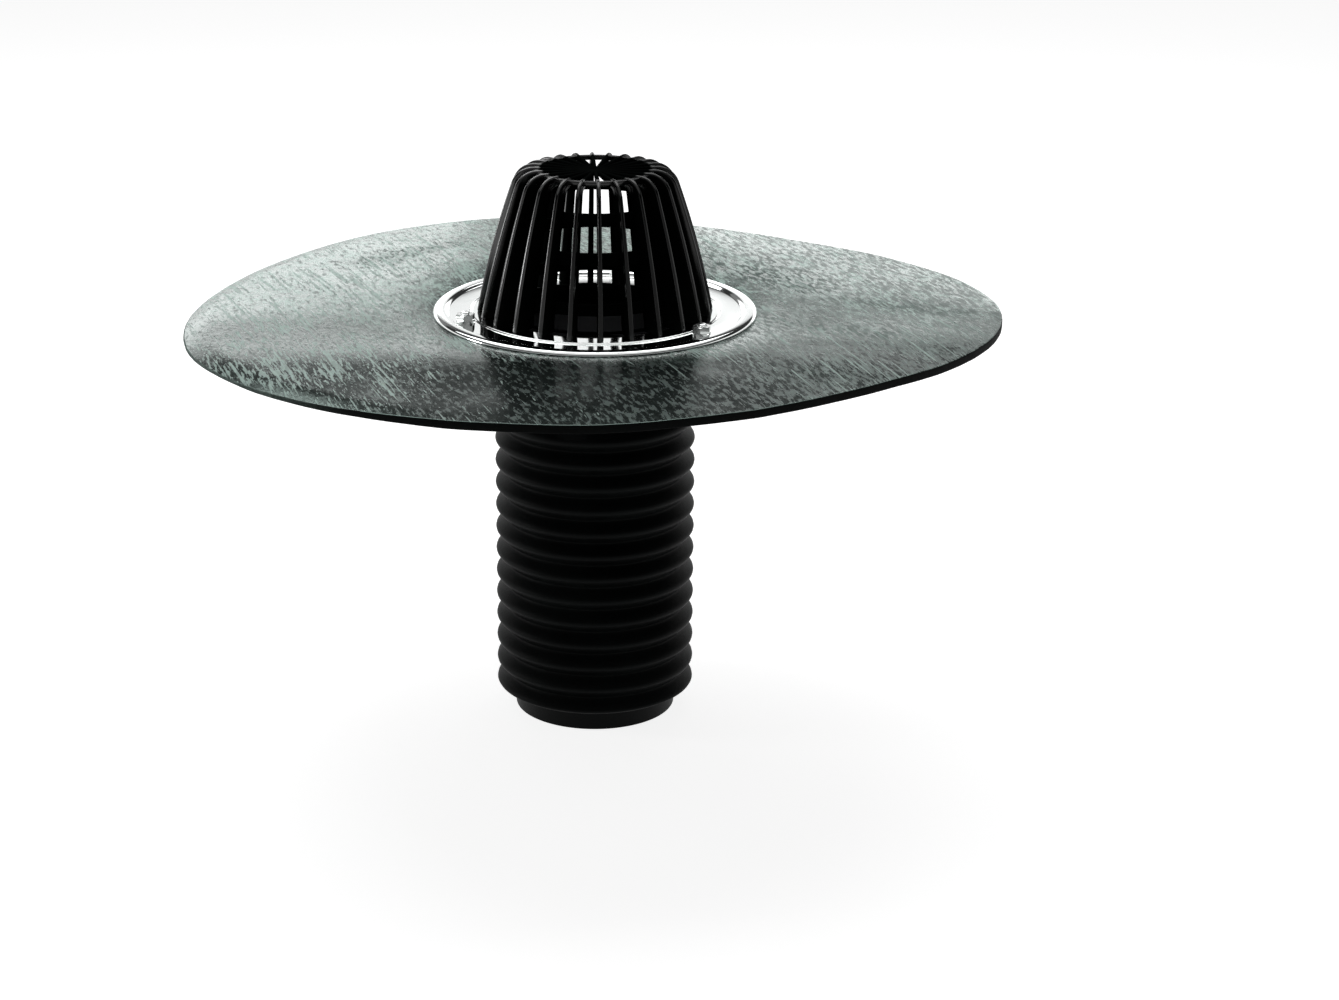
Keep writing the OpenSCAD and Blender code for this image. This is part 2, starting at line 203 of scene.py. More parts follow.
def newFinish(name):
    return Finish(bpy.data.materials.new(name))


# finishes
pipeLook = dict(
    colour=(0.0035, 0.004, 0.004), dust=(0.008, 0.010, 0.0095), dustShare=0.6, grain=700.0,
    roughLow=0.42, roughHigh=0.58, shine=0.05,
)


def pipePlasticFinish():
    look = pipeLook
    f = newFinish("pipePlastic")
    grain = f.noise(f.place(), look["grain"], 4.0, 0.6)
    cloud = f.noise(f.place(), 22.0, 3.0, 0.55)
    tone = f.mixColour(cloud.between(0.35, 0.75) * look["dustShare"], look["colour"], look["dust"])
    rough = look["roughLow"] + (look["roughHigh"] - look["roughLow"]) * (cloud * 0.6 + grain * 0.4)
    return f.surface(Base_Color=tone, Roughness=rough, Specular_IOR_Level=look["shine"],
                     Normal=f.bump(grain, 0.25, 0.0004))


guardLook = dict(
    colour=(0.0032, 0.0038, 0.0036), dust=(0.010, 0.0125, 0.0115), dustShare=0.5, grain=900.0, rough=0.42,
    shine=0.0, rubbed=0.9, rubbedRough=0.15, rubbedRefraction=1.9, lessRubbed=0.35,
    # how fast the fins' outer edge draws in, and where the rubbed coat fades in
    lean=0.274, edgeFade=(-0.0024, -0.0007), sideFade=(0.040, 0.044),
    shoulderFade=(0.080, 0.085), topFade=(0.0325, 0.0345), acrossFade=(-0.045, -0.005),
)


def guardPlasticFinish():
    look = guardLook
    f = newFinish("guardPlastic")
    x, y, z = f.axes(f.place())
    height = z - seatHeight
    radius = (x * x + y * y).power(0.5)
    grain = f.noise(f.place(), look["grain"], 4.0, 0.6)
    cloud = f.noise(f.place(), 22.0, 3.0, 0.55)
    # the fins' outer edges are rubbed shiny, the inside and the flat top stay dull
    side = (radius + height * look["lean"] - guard["footRadius"]).between(*look["edgeFade"])
    shoulder = height.between(*look["shoulderFade"]) * radius.between(*look["topFade"])
    rubbed = (side * radius.between(*look["sideFade"]) + shoulder).clamped()
    # less of it is left on the right
    rubbed = rubbed * (1 - x.between(*look["acrossFade"]) * (1 - look["lessRubbed"]))
    tone = f.mixColour(cloud.between(0.35, 0.75) * look["dustShare"], look["colour"], look["dust"])
    return f.surface(Base_Color=tone, Roughness=look["rough"] + (cloud - 0.5) * 0.2 + grain * 0.08,
                     Specular_IOR_Level=look["shine"], Coat_Weight=rubbed * look["rubbed"],
                     Coat_Roughness=look["rubbedRough"], Coat_IOR=look["rubbedRefraction"],
                     Normal=f.bump(grain, 0.25, 0.0004))


# brush is how fine the drawn lines are along each axis
bodyLook = dict(
    # painted shade: the body's steel is near black, standing in for the shade inside the drain
    colour=(0.055, 0.057, 0.06), stain=(0.025, 0.027, 0.03), roughLow=0.4, roughHigh=0.6,
    brush=(300, 300, 40), lineDepth=0.0001,
)
fastenerLook = dict(
    colour=(0.78, 0.80, 0.79), stain=(0.6, 0.63, 0.62), roughLow=0.12, roughHigh=0.3,
    brush=(500, 500, 80), lineDepth=0.00005,
)
clampLook = dict(
    colour=(0.70, 0.72, 0.73), stain=(0.55, 0.57, 0.58), roughLow=0.16, roughHigh=0.34,
    brush=(60, 60, 900), lineDepth=0.00005,
)


def steelFinish(name, look):
    f = newFinish(name)
    cloud = f.noise(f.place(), 45.0, 4.0, 0.6)
    drawn = f.noise(f.place(look["brush"]), 1.0, 2.0, 0.5)
    tone = f.mixColour(cloud.between(0.5, 0.85) * 0.5, look["colour"], look["stain"])
    rough = look["roughLow"] + (look["roughHigh"] - look["roughLow"]) * (cloud * 0.5 + drawn * 0.5)
    return f.surface(Base_Color=tone, Metallic=1.0, Roughness=rough,
                     Normal=f.bump(drawn, 0.3, look["lineDepth"]))


ringLook = dict(
    colour=(0.86, 0.885, 0.875), stain=(0.74, 0.78, 0.765), roughLow=0.035, roughHigh=0.10,
    brush=(60, 60, 900), lineDepth=0.00002,
    # painted shade: the throat is painted near black and dull out to the edge radius, with a soft, ragged
    # edge
    throatShade=(0.004, 0.0045, 0.0045), throatShadeRough=0.55, throatShadeEdge=0.0612, throatShadeFade=0.0002, throatShadeFray=0.0012,
)


def ringSteelFinish():
    look = ringLook
    f = newFinish("polishedSteel")
    x, y = f.axes(f.place())[:2]
    radius = (x * x + y * y).power(0.5)
    cloud = f.noise(f.place(), 45.0, 4.0, 0.6)
    drawn = f.noise(f.place(look["brush"]), 1.0, 2.0, 0.5)
    ragged = f.noise(f.place(), 160.0, 3.0, 0.6)
    # the throat is painted black and dull as painted shade, not metallic, with a ragged edge
    edge, fade = look["throatShadeEdge"], look["throatShadeFade"]
    unshadedSteel = (radius + (ragged - 0.5) * look["throatShadeFray"]).between(edge - fade, edge + fade)
    tone = f.mixColour(cloud.between(0.5, 0.85) * 0.5, look["colour"], look["stain"])
    tone = f.mixColour(unshadedSteel, look["throatShade"], tone)
    polish = look["roughLow"] + (cloud * 0.5 + drawn * 0.5) * (look["roughHigh"] - look["roughLow"])
    rough = look["throatShadeRough"] - unshadedSteel * (look["throatShadeRough"] - polish)
    return f.surface(Base_Color=tone, Metallic=unshadedSteel, Roughness=rough, Specular_IOR_Level=0.0,
                     Normal=f.bump(drawn, 0.08, look["lineDepth"]))


bitumenLook = dict(
    black=(0.006, 0.0085, 0.0078), film=(0.335, 0.465, 0.415), talc=(0.43, 0.55, 0.505),
    sheen=(0.60, 1.0, 0.86),
    rollTurn=-17.5, rough=0.16, refraction=1.60, grainDepth=0.0005,
    # how fine each pattern is, and how fine along and across the roll
    clouds=11.0, patches=34.0, blotches=95.0, grain=520.0,
    dashes=(680, 84, 1), specks=(900, 330, 1), scratches=(560, 16, 1), pits=(430, 120, 1),
    # the noise at which each mark starts and is full
    dashCut=(0.555, 0.60), speckCut=(0.60, 0.70), scratchCut=(0.69, 0.73), pitCut=(0.46, 0.62),
    # painted shade: the real talc marks are thinned towards the right, leaving the right side darker
    talcAndShadeFade=(0.0, 0.12),  # x over which the talc thins
    # the painted dark reflection of the guard in front of the ring: y of its back edge, x of its left and
    # right edges
    paintedReflectionBack=(-0.13, -0.09), paintedReflectionLeft=(-0.13, -0.06), paintedReflectionRight=(0.06, 0.13),
    # darker places, painted shade of the sheet's undulations: x, y, length, width, turn, share
    paintedShadePatches=((-0.112, 0.150, 0.115, 0.030, 33, 0.55), (-0.138, 0.124, 0.060, 0.040, 20, 0.45),
             (-0.092, 0.078, 0.070, 0.030, 48, 0.3), (0.108, 0.080, 0.110, 0.046, -48, 0.9),
             (0.190, 0.012, 0.130, 0.022, -14, 0.5), (0.150, -0.040, 0.110, 0.026, -20, 0.5)),
)


def bitumenTopFinish():
    look = bitumenLook
    f = newFinish("bitumenTop")
    turn = look["rollTurn"]  # dashes and scuffs run along the roll
    x, y = f.axes(f.place())[:2]
    cloud = f.noise(f.place((1, 1, 1), 0, (0.31, 0.17, 0)), look["clouds"], 4.0, 0.55)
    patch = f.noise(f.place((1, 0.7, 1), turn, (0.1, 0.6, 0)), look["patches"], 2.0, 0.5)
    blotch = f.noise(f.place((1, 0.6, 1), turn), look["blotches"], 4.0, 0.62)
    grain = f.noise(f.place((1, 0.45, 1), turn), look["grain"], 3.0, 0.6)
    dash = f.noise(f.place(look["dashes"], turn), 1.0, 2.0, 0.5)
    speck = f.noise(f.place(look["specks"], turn), 1.0, 1.0, 0.4)
    scratch = f.noise(f.place(look["scratches"], turn - 2, (0.4, 3.7, 0)), 1.0, 0.0, 0.3)
    # a grey film lies on the sheet; its share rises towards the back as a painted reflection that leaves
    # the front darker, and it has more pits in it on the right
    kept = (y * 4.0 + x * 0.5 + (cloud - 0.5) * 1.6 + 0.20).between(-0.3, 0.55)
    pit = f.noise(f.place(look["pits"], turn, (0.7, 0.2, 0)), 1.0, 4.0, 0.65)
    pit = (pit + x * 0.22).between(*look["pitCut"])
    dull = 0.0
    # painted shade: in each patch the film is thinned and the sheet made rougher
    for middleX, middleY, length, width, lean, share in look["paintedShadePatches"]:
        local = f.node("ShaderNodeMapping", {"vector_type": "TEXTURE"},
                       {"Vector": f.place(), "Location": (middleX, middleY, 0),
                        "Rotation": (0, 0, math.radians(lean)), "Scale": (length / 2, width / 2, 10)})
        reach = f.node("ShaderNodeVectorMath", {"operation": "LENGTH"}, {0: local}, output=1)
        reach = reach + (blotch - 0.5) * 2.4 + (dash - 0.5) * 1.2
        paintedShadePatch = (1 - reach.between(0.2, 1.4)) * share * (0.45 + pit)
        kept = kept * (1 - paintedShadePatch)
        dull = dull + paintedShadePatch
    mottle = (blotch * 0.45 + grain * 0.55).between(0.44, 0.58)
    film = (kept * (0.15 + mottle * 0.85) * (1 - pit * 0.9)).clamped()
    # painted reflection: the film is taken away in front of the ring, where the guard's dark reflection
    # falls; talc is left in dashes, few of them there
    paintedGuardReflection = (1 - y.between(*look["paintedReflectionBack"])) * x.between(*look["paintedReflectionLeft"])
    paintedGuardReflection = paintedGuardReflection * (1 - x.between(*look["paintedReflectionRight"]))
    film = film * (1 - paintedGuardReflection)
    dashes = (dash + (patch - 0.5) * 0.45 - paintedGuardReflection * 0.17).between(*look["dashCut"])
    specks = (speck + (patch - 0.5) * 0.2 - paintedGuardReflection * 0.12).between(*look["speckCut"])
    scratches = (scratch + (patch - 0.5) * 0.4 - paintedGuardReflection * 0.12 - x * 0.1).between(*look["scratchCut"])
    marks = (dashes * 0.75 + specks * 0.45) * (1 - kept * 0.85)
    # painted shade: talc marks are thinned towards the right
    marks = marks * (1 - x.between(*look["talcAndShadeFade"]) * 0.65)
    marks = (marks + scratches * 0.6).clamped()
    tone = f.mixColour(film, look["black"], look["film"])
    tone = f.mixColour(marks * 0.85, tone, look["talc"])
    height = grain * 0.5 + blotch * 0.6 + marks * 0.35
    rough = look["rough"] + film * 0.12 + marks * 0.3 + dull * 0.22 + pit * 0.20
    return f.surface(Base_Color=tone, Roughness=rough, IOR=look["refraction"],
                     Specular_Tint=(*look["sheen"], 1), Normal=f.bump(height, 0.4, look["grainDepth"]))


cutLook = dict(
    black=((0.0014, 0.0019, 0.0018), (0.007, 0.009, 0.0085)), talc=((0.09, 0.12, 0.11), (0.25, 0.32, 0.29)),
    # painted light: x over which the cut turns to the lighter talc tone on the left
    talcAndLightEdge=(-0.21, -0.13), grain=300.0, rough=0.6, shine=0.06, grainDepth=0.0006,
)


def bitumenEdgeFinish():
    look = cutLook
    f = newFinish("bitumenEdge")
    x = f.axes(f.place())[0]
    grain = f.noise(f.place((1, 1, 4)), look["grain"], 5.0, 0.7)
    clean = f.mixColour(grain.between(0.5, 0.8), *look["black"])
    dustyAndLit = f.mixColour(grain.between(0.35, 0.7), *look["talc"])
    # the cut is painted lighter on the left in a talc tone: partly talc and partly painted light
    tone = f.mixColour(1 - x.between(*look["talcAndLightEdge"]), clean, dustyAndLit)
    return f.surface(Base_Color=tone, Roughness=look["rough"] + grain * 0.2,
                     Specular_IOR_Level=look["shine"], Normal=f.bump(grain, 0.6, look["grainDepth"]))


bodyFinish = steelFinish("bodySteel", bodyLook)
fastenerFinish = steelFinish("fastenerSteel", fastenerLook)
clampFinish = steelFinish("clampSteel", clampLook)
print("steel finishes made")


# leaf guard
guard = dict(
    fins=24, turn=2.7, thickness=0.0024, footThickness=0.0032, edgeRound=0.00104,
    footRadius=0.0718, footDepth=0.016, depth=0.0116, bulge=0.0015,
    rimRadius=0.037, cornerRadius=0.0142, cornerLean=18.8, innerCorner=0.005,
    topDepth=0.006, centreDepth=0.0022, topDip=0.0016, finEnd=0.003,
    hubRadius=0.0088, hubThickness=0.0018, hubSink=0.0004, hubRound=0.0005, hubSegments=96,
    hoops=((0.0009, 0.0014), (0.0144, 0.007), (0.0436, 0.0076), (0.0674, 0.0048)),  # middle and height
    hoopWall=0.0028, hoopGrip=0.001, hoopRound=0.0004, hoopSegments=144,
    rimHoopInner=0.0338, rimHoopOuter=0.0368, rimHoopHeight=0.0028, rimHoopSink=0.001,
)
guardHeight = guardTop - seatHeight


def guardSide(share):
    # outer edge of a fin at this share of the way up to the corner, as radius and height
    g = guard
    lean = math.radians(g["cornerLean"])
    top = Vector((g["rimRadius"] + g["cornerRadius"] * math.cos(lean),
                  guardHeight - g["cornerRadius"] + g["cornerRadius"] * math.sin(lean)))
    foot = Vector((g["footRadius"], 0))
    chord = top - foot
    outwards = Vector((chord.y, -chord.x)).normalized()
    return foot + chord * share + outwards * (4 * g["bulge"] * share * (1 - share))


def innerRadiusAt(z):
    share = z / guardSide(1).y
    return guardSide(share).x - guard["footDepth"] + (guard["footDepth"] - guard["depth"]) * share


def finOutline():
    g = guard
    steps = 12
    sides = [guardSide(i / steps) for i in range(steps + 1)]
    corner = (g["rimRadius"], guardHeight - g["cornerRadius"])
    bend = g["innerCorner"]
    innerTop = guardHeight - g["topDepth"] - bend
    inner = (innerRadiusAt(innerTop) - bend, innerTop)
    hubTop = guardHeight - g["topDip"]
    outline = [tuple(p) for p in sides]
    # the side already ends where the corner starts
    outline += arcPoints(corner, g["cornerRadius"], g["cornerLean"] + 5, 90, 10)
    outline += [(g["finEnd"], hubTop), (g["finEnd"], hubTop - g["centreDepth"])]
    outline += arcPoints(inner, bend, 90, 0, 6)
    outline += [(innerRadiusAt(innerTop * i / steps), innerTop * i / steps) for i in reversed(range(steps))]
    return outline


def makeFins():
    g = guard
    bm = bmesh.new()
    cheek = bm.faces.new([bm.verts.new((r, -g["thickness"] / 2, z)) for r, z in finOutline()])
    grown = bmesh.ops.extrude_face_region(bm, geom=[cheek], use_keep_orig=True)
    far = [v for v in grown["geom"] if isinstance(v, bmesh.types.BMVert)]
    bmesh.ops.translate(bm, verts=far, vec=(0, g["thickness"], 0))
    for v in bm.verts:  # a fin is thicker at its foot
        low = 1 - min(1, v.co.z / (guardHeight - g["cornerRadius"]))
        v.co.y *= 1 + (g["footThickness"] / g["thickness"] - 1) * low
    bmesh.ops.recalc_face_normals(bm, faces=bm.faces)
    roundSharpEdges(bm, g["edgeRound"], 3, 60)
    turned = Matrix.Rotation(math.radians(90 + g["turn"]), 3, "Z")
    bmesh.ops.rotate(bm, verts=bm.verts, cent=(0, 0, 0), matrix=turned)
    bmesh.ops.translate(bm, verts=bm.verts, vec=(0, 0, seatHeight))
    bmesh.ops.spin(bm, geom=bm.verts[:] + bm.edges[:] + bm.faces[:], cent=(0, 0, 0), axis=(0, 0, 1),
                   angle=math.tau * (g["fins"] - 1) / g["fins"], steps=g["fins"] - 1, use_duplicate=True)
    return bm


def makeHoop(innerRadius, wall, bottom, height):
    outer, low, high = innerRadius + wall, seatHeight + bottom, seatHeight + bottom + height
    corners = [(innerRadius, low), (outer, low), (outer, high), (innerRadius, high)]
    hoop = turnOutline(corners, guard["hoopSegments"])
    roundSharpEdges(hoop, guard["hoopRound"])
    return hoop


def makeGuard():
    g = guard
    bm = makeFins()
    wall = g["hoopWall"]
    for middle, height in g["hoops"]:
        inner = innerRadiusAt(middle) + g["hoopGrip"] - wall
        addInto(bm, makeHoop(inner, wall, middle - height / 2, height))
    rimWall = g["rimHoopOuter"] - g["rimHoopInner"]
    rimFoot = guardHeight - g["rimHoopSink"] - g["rimHoopHeight"]
    addInto(bm, makeHoop(g["rimHoopInner"], rimWall, rimFoot, g["rimHoopHeight"]))
    hubMiddle = guardTop - g["topDip"] - g["hubSink"] - g["hubThickness"] / 2
    hub = bmesh.new()
    bmesh.ops.create_cone(hub, cap_ends=True, segments=g["hubSegments"], radius1=g["hubRadius"],
                          radius2=g["hubRadius"], depth=g["hubThickness"],
                          matrix=Matrix.Translation((0, 0, hubMiddle)))
    roundSharpEdges(hub, g["hubRound"], 3)
    addInto(bm, hub)
    finishPiece("leafGuard", bm, [guardPlasticFinish()], ["leaf_guard"])


makeGuard()


# clamping ring
ring = dict(
    beadWidth=0.010, beadHeight=0.0016, riseShare=0.3, rollShare=0.26, rimGap=0.0002,
    lipRadius=0.0744, lipWidth=0.0022, lipHeight=0.0009, neckRadius=0.0582, neckLength=0.013, bend=0.004,
    segments=288,
)


def ringOutline():
    r = ring
    t = ringThickness
    outer = ringBox[1].x
    inner = outer - r["beadWidth"]
    low = seatHeight - t
    steps = 14
    bendCentre = (r["neckRadius"] + r["bend"] - t / 2, seatHeight - r["bend"] - t / 2)
    top = arcPoints(bendCentre, r["bend"] + t / 2, 180, 90, steps)
    shares = [i / steps for i in range(steps + 1)]
    # the lip is one soft wave, low on both sides
    top += [(r["lipRadius"] + r["lipWidth"] * u, seatHeight + r["lipHeight"] * math.sin(math.pi * u) ** 1.5)
            for u in shares]
    # the bead rises from the flat in an S and rolls over to the rim
    riseWidth = r["beadWidth"] * r["riseShare"]
    rollWidth = r["beadWidth"] * r["rollShare"]
    rimHeight = sheetTop + r["rimGap"]
    top += [(inner + riseWidth * u, seatHeight + r["beadHeight"] * (1 - math.cos(math.pi * u)) / 2)
            for u in shares]
    top += [(outer - rollWidth * (1 - math.sin(math.pi / 2 * u)),
             rimHeight + (seatHeight + r["beadHeight"] - rimHeight) * math.cos(math.pi / 2 * u))
            for u in shares[1:]]
    under = [(outer - t * 0.6, sheetTop), (outer - t, rimHeight), (inner + riseWidth, rimHeight),
             (inner, low), (r["neckRadius"] + r["bend"], low)]
    under += arcPoints(bendCentre, r["bend"] - t / 2, 90, 180, steps)[1:]
    foot = low - r["neckLength"]
    under += [(r["neckRadius"], foot + t / 4), (r["neckRadius"] - t / 2, foot),
              (r["neckRadius"] - t, foot + t / 2)]
    return top + under


def makeRing():
    bm = turnOutline(ringOutline(), ring["segments"])
    finishPiece("clampingRing", bm, [ringSteelFinish()], ["clamping_ring"],
                smoothAngle=30)


makeRing()


# sheet collar
sheet = dict(
    radius=0.238, thickness=0.005, holeRadius=0.0613, offset=0.017, offsetTurn=123,
    lobes=((2, 0.008, -7), (3, 0.009, 2), (4, 0.005, 8)),  # how many, size, turn
    # pressed by the ring from above and below
    clampGap=0.001, squeeze=0.0012, squeezeLow=0.0004,
    # how far the edge hangs, tips to one side and warps to two, and the swelling beside the ring
    droop=0.005, tilt=0.0021, tiltTurn=-22, warp=0.0019, warpTurn=72, swell=0.0014,
    ripple=0.0009, rippleScale=14, cutWobble=0.0008, trim=0.0003, edgeRound=0.0007,
    # trodden thin towards the rim on one side
    thinned=0.0033, thinTurn=185, thinSpread=0.45, thinFrom=0.90,
    rings=48, lastRing=0.9965, segments=360,
)


def sheetEdge(angle):
    s = sheet
    edge = s["radius"] + s["offset"] * math.cos(angle - math.radians(s["offsetTurn"]))
    for count, size, turn in s["lobes"]:
        edge += size * math.cos(count * (angle - math.radians(turn)))
    # the knife wandered in long waves and short ones
    knife = noise.noise(Vector((math.cos(angle), math.sin(angle), 0.3)) * 9)
    knife += 0.5 * noise.noise(Vector((math.cos(angle), math.sin(angle), 0.7)) * 31)
    return edge - s["trim"] - s["cutWobble"] * (0.5 + 0.5 * max(-1, min(1, knife)))


def sheetRise(angle, t):
    s = sheet
    hang = (s["droop"] - s["tilt"] * math.cos(angle - math.radians(s["tiltTurn"]))
            - s["warp"] * math.cos(2 * (angle - math.radians(s["warpTurn"]))))
    return s["swell"] * (1 - (1 - min(1, 3 * t)) ** 3) - t * t * hang


def makeSheet():
    s = sheet
    clampRadius = ringBox[1].x + s["clampGap"]
    flangeRadius = bodyBox[1].x
    top, low = sheetTop, sheetTop - s["thickness"]
    edge = s["edgeRound"]
    steps = [i / s["rings"] for i in range(s["rings"] + 1)]
    reach = s["radius"] - edge - clampRadius
    outline = [(s["holeRadius"], top - s["squeeze"]), (flangeRadius, top - s["squeeze"])]
    outline += [(clampRadius + reach * t, top) for t in steps[:-1] + [s["lastRing"], 1]]
    outline += arcPoints((s["radius"] - edge, top - edge), edge, 60, 0, 2)
    outline += arcPoints((s["radius"] - edge, low + edge), edge, 0, -60, 2)
    outline += [(clampRadius + reach * t, low) for t in reversed(steps[::2])]
    outline += [(flangeRadius + s["squeezeLow"], low - s["squeezeLow"]),
                (s["holeRadius"], low - s["squeezeLow"])]
    bm = turnOutline(outline, s["segments"])
    for v in bm.verts:
        r, angle = math.hypot(v.co.x, v.co.y), math.atan2(v.co.y, v.co.x)
        if r > clampRadius:
            t = (r - clampRadius) / (s["radius"] - clampRadius)
            place = Vector((v.co.x * s["rippleScale"], v.co.y * s["rippleScale"], 2.0))
            ripple = noise.noise(place) * s["ripple"] * min(1, 4 * t)
            grown = clampRadius + t * (sheetEdge(angle) - clampRadius)
            near = (math.cos(angle - math.radians(s["thinTurn"])) - s["thinSpread"]) / s["thinSpread"]
            rim = max(0, (t - s["thinFrom"]) / (1 - s["thinFrom"]))
            thin = s["thinned"] * max(0, min(1, near)) * rim ** 1.5
            upper = 1 if v.co.z > low + edge * 1.01 else 0  # the underside stays
            v.co = (grown * math.cos(angle), grown * math.sin(angle),
                    v.co.z + sheetRise(angle, t) + ripple - thin * upper)
    bm.normal_update()
    for face in bm.faces:
        face.material_index = 0 if face.normal.z > 0.9 else 1
    finishes = [bitumenTopFinish(), bitumenEdgeFinish()]
    finishPiece("sheetCollar", bm, finishes, ["sheet_collar"], smoothAngle=50)


makeSheet()


# flexible pipe
pipe = dict(
    spigotRadius=0.050, spigotLength=0.010, shoulder=0.0066, wall=0.002, ridgeDepth=0.006, pitch=0.0145,
    ridges=13, cuffRadius=0.0551, edgeRound=0.0004, steps=14, innerSteps=6, turns=176,
)


def ridgeRadius(u):
    return pipeBox[1].x - pipe["ridgeDepth"] * (1 - ((1 - math.cos(math.tau * u)) / 2) ** 0.75)


def pipeWall(inset, perRidge):
    # from the spigot's end up to the top of the cuff
    p = pipe
    spigot, cuff = p["spigotRadius"] - inset, p["cuffRadius"] - inset
    neck = p["spigotLength"] + inset
    crest = p["spigotLength"] + p["shoulder"]
    half = perRidge // 2
    wall = [(spigot, pipeBox[0].z), (spigot, neck)]
    for i in range(1, half + 1):
        u = i / half
        swing = (pipeBox[1].x - p["spigotRadius"]) * (1 - math.cos(math.pi * u)) / 2
        wall.append((spigot + swing, neck + (p["shoulder"] - inset) * u))
    last = p["ridges"] * perRidge - (1 if inset else 0)
    for i in range(half + 1, last + 1):
        u = i / perRidge
        wall.append((ridgeRadius(u) - inset, crest + (u - 0.5) * p["pitch"]))
    cuffFoot = crest + (p["ridges"] - 0.5) * p["pitch"] + (0 if inset else p["wall"] / 2)
    wall += [(cuff, cuffFoot), (cuff, pipeBox[1].z)]
    return wall


def makePipe():
    outline = pipeWall(0, pipe["steps"]) + list(reversed(pipeWall(pipe["wall"], pipe["innerSteps"])))
    bm = turnOutline(outline, pipe["turns"])
    roundSharpEdges(bm, pipe["edgeRound"], 2, 60)
    finishPiece("flexiblePipe", bm, [pipePlasticFinish()], ["flexible_pipe"],
                smoothAngle=50)


makePipe()


# studs with their threads
stud = dict(
    radius=0.003, headRadius=0.0056, headHeight=0.0018, axisGap=0.0001, endRise=0.0002, endRound=0.0003,
    threadLength=0.0095, threadDepth=0.0005, pitch=0.001, point=0.0006, segments=48,
    # one tooth of the thread: how far its foot sinks and its tip stays inside, and shares of the pitch
    toothSink=0.0001, tipInside=0.00003, toothFoot=(0, 0.94), toothTip=(0.56, 0.40),
)


def makeStud(number):
    s = stud
    low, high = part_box(f"stud_{number}")
    centre = ((low + high) / 2).to_2d()
    core = s["radius"] - s["threadDepth"]
    threadFoot = high.z - s["threadLength"]
    outline = [(s["axisGap"], low.z), (s["headRadius"], low.z), (s["radius"], low.z + s["headHeight"])]
    outline += [(s["radius"], threadFoot), (core, threadFoot + s["threadDepth"])]
    outline += [(core, high.z - s["endRise"]), (core - s["endRound"], high.z), (s["axisGap"], high.z)]
    bm = turnOutline(outline, s["segments"])
    # one tooth swept up round the core
    turns = (s["threadLength"] - s["point"] - s["pitch"]) / s["pitch"]
    steps = int(turns * s["segments"] / 2)
    tooth = bmesh.new()
    corners = [(core - s["toothSink"], share) for share in s["toothFoot"]]
    corners += [(s["radius"] - s["tipInside"], share) for share in s["toothTip"]]
    verts = [tooth.verts.new((r, 0, threadFoot + s["pitch"] * share)) for r, share in corners]
    profile = tooth.faces.new(verts)
    bmesh.ops.spin(tooth, geom=[profile], cent=(0, 0, 0), axis=(0, 0, 1), angle=math.tau * turns,
                   steps=steps, dvec=(0, 0, turns * s["pitch"] / steps))
    bmesh.ops.recalc_face_normals(tooth, faces=tooth.faces)
    addInto(bm, tooth)
    bmesh.ops.translate(bm, verts=bm.verts, vec=(centre.x, centre.y, 0))
    finishPiece(f"stud{number}", bm, [fastenerFinish], [f"stud_{number}"])


for number in (1, 2, 3):
    makeStud(number)


# finishes of the pieces that keep their solids
keptFinishes = {"drain_body": bodyFinish, "clamp_band": clampFinish, "clamp_housing": clampFinish,
                "clamp_screw": fastenerFinish}
keptFinishes.update({f"{kind}_{n}": fastenerFinish for kind in ("nut", "washer") for n in (1, 2, 3)})
for nodeName, finish in keptFinishes.items():
    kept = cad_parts[nodeName]
    kept.data.materials.clear()
    kept.data.materials.append(finish)
print("solids dressed")


# floor, light and camera
studio = dict(
    floorHalf=6.0, floorGap=0.0002, floorColour=0.55, floorGlow=0.86, darkSky=0.10,
    # what mirrors see at the sine of each height: white backdrop, dark wall, pale ceiling
    backdropEnd=0.284, wallStart=0.320, wallShine=0.03, wallEnd=0.60, ceilingStart=0.76, ceilingShine=0.85,
    roomShine=0.35, roomFade=(-0.35, 0.1),
)


def makeFloor():
    bm = bmesh.new()
    bmesh.ops.create_grid(bm, x_segments=1, y_segments=1, size=studio["floorHalf"])
    bmesh.ops.translate(bm, verts=bm.verts, vec=(0, 0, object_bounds()[0].z - studio["floorGap"]))
    mesh = bpy.data.meshes.new("floor")
    bm.to_mesh(mesh)
    bm.free()
    f = newFinish("paleFloor")
    seen, mirrored, through = f.rays()
    strength = (seen + mirrored + through).clamped() * studio["floorGlow"]
    glow = f.node("ShaderNodeEmission", {}, {"Color": (1, 1, 1, 1), "Strength": strength})
    paint = f.node("ShaderNodeBsdfDiffuse", {}, {"Color": (*[studio["floorColour"]] * 3, 1)})
    both = f.node("ShaderNodeAddShader", {}, {0: glow, 1: paint})
    f.node("ShaderNodeOutputMaterial", {}, {"Surface": both})
    mesh.materials.append(f.owner)
    floor = bpy.data.objects.new("floor", mesh)
    bpy.context.scene.collection.objects.link(floor)


def makeSky():
    world = bpy.data.worlds.new("studioSky")
    bpy.context.scene.world = world
    f = Finish(world)
    s = studio
    seen, mirrored, through = f.rays()
    behind, height = f.axes(f.node("ShaderNodeTexCoord", output="Generated"))[1:]
    wall = height.between(s["backdropEnd"], s["wallStart"]) * (1 - s["wallShine"])
    ceiling = height.between(s["wallEnd"], s["ceilingStart"]) * (s["ceilingShine"] - s["wallShine"])
    # the room in front of the object is dimmer than the backdrop behind it
    room = s["roomShine"] + behind.between(*s["roomFade"]) * (1 - s["roomShine"])
    strength = seen + (mirrored + through) * ((1 - wall) * room + ceiling)
    strength = strength + s["darkSky"] * (1 - (seen + mirrored + through).clamped())
    sky = f.node("ShaderNodeBackground", {}, {"Color": (1, 1, 1, 1), "Strength": strength})
    f.node("ShaderNodeOutputWorld", {}, {"Surface": sky})


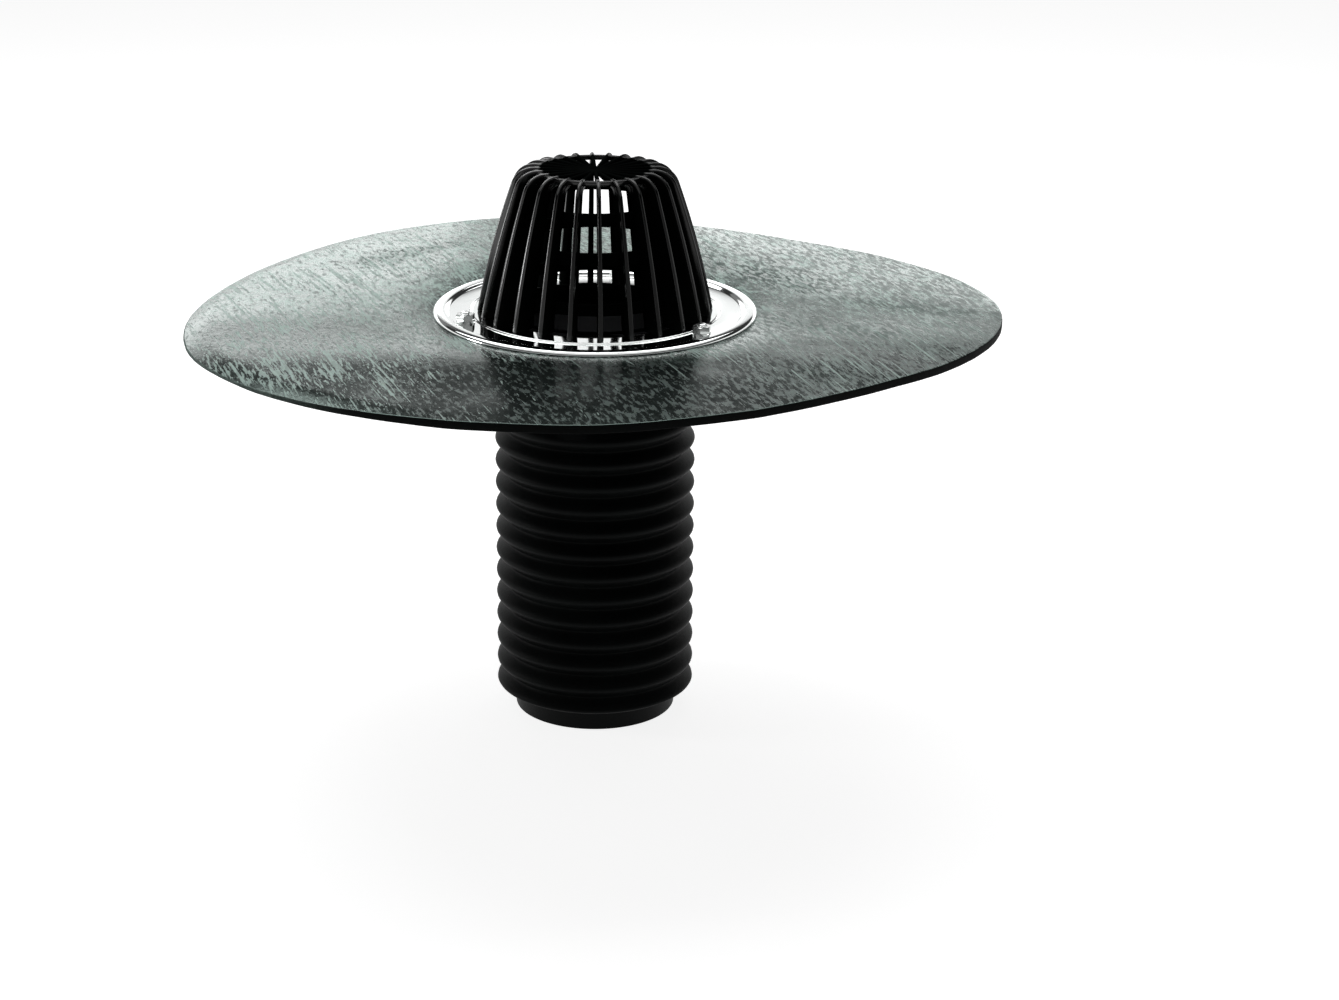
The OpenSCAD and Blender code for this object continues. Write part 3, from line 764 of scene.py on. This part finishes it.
def makeLamp(name, place, target, size, power):
    data = bpy.data.lights.new(name, "AREA")
    data.shape, data.size, data.size_y = "RECTANGLE", size[0], size[1]
    data.energy = power
    lamp = bpy.data.objects.new(name, data)
    bpy.context.scene.collection.objects.link(lamp)
    lamp.location = place
    lamp.rotation_euler = (Vector(target) - Vector(place)).to_track_quat("-Z", "Y").to_euler()
    lamp.visible_camera = False


lamps = dict(
    backLeft=dict(place=(-0.74, 1.55, 0.55), target=(-0.74, 0, 0.55), size=(1.14, 0.32), power=1.95),
    backRight=dict(place=(0.66, 1.55, 0.50), target=(0.66, 0, 0.50), size=(1.12, 0.34), power=1.95),
    leftHigh=dict(place=(-0.70, 1.50, 0.92), target=(-0.2, 0, 0.25), size=(0.9, 0.3), power=0.15),
    softbox=dict(place=(-0.15, 0.95, 1.75), target=(0, 0, 0.25), size=(2.0, 1.3), power=24),
    left=dict(place=(-1.5, 0.0, 0.48), target=(0, 0, 0.40), size=(0.35, 0.24), power=3),
)

camera = dict(
    place=(0, -1.68692, sheetTop + 0.47561), yaw=1.5745, pitch=19.509, roll=0.548,
    lens=77.187, sensor=36.0, nearest=0.05, farthest=50,
)


def makeCamera():
    c = camera
    data = bpy.data.cameras.new("camera")
    data.lens, data.sensor_width, data.sensor_fit = c["lens"], c["sensor"], "HORIZONTAL"
    data.clip_start, data.clip_end = c["nearest"], c["farthest"]
    eye = bpy.data.objects.new("camera", data)
    bpy.context.scene.collection.objects.link(eye)
    yaw, pitch, roll = (math.radians(c[k]) for k in ("yaw", "pitch", "roll"))
    turned = Matrix.Rotation(-yaw, 4, "Z") @ Matrix.Rotation(math.pi / 2 - pitch, 4, "X")
    turned = turned @ Matrix.Rotation(roll, 4, "Z")
    eye.matrix_world = Matrix.Translation(c["place"]) @ turned
    bpy.context.scene.camera = eye


makeFloor()
makeSky()
for name, settings in lamps.items():
    makeLamp(name, **settings)
makeCamera()
bpy.context.scene.view_settings.view_transform = "Standard"
print("studio set")
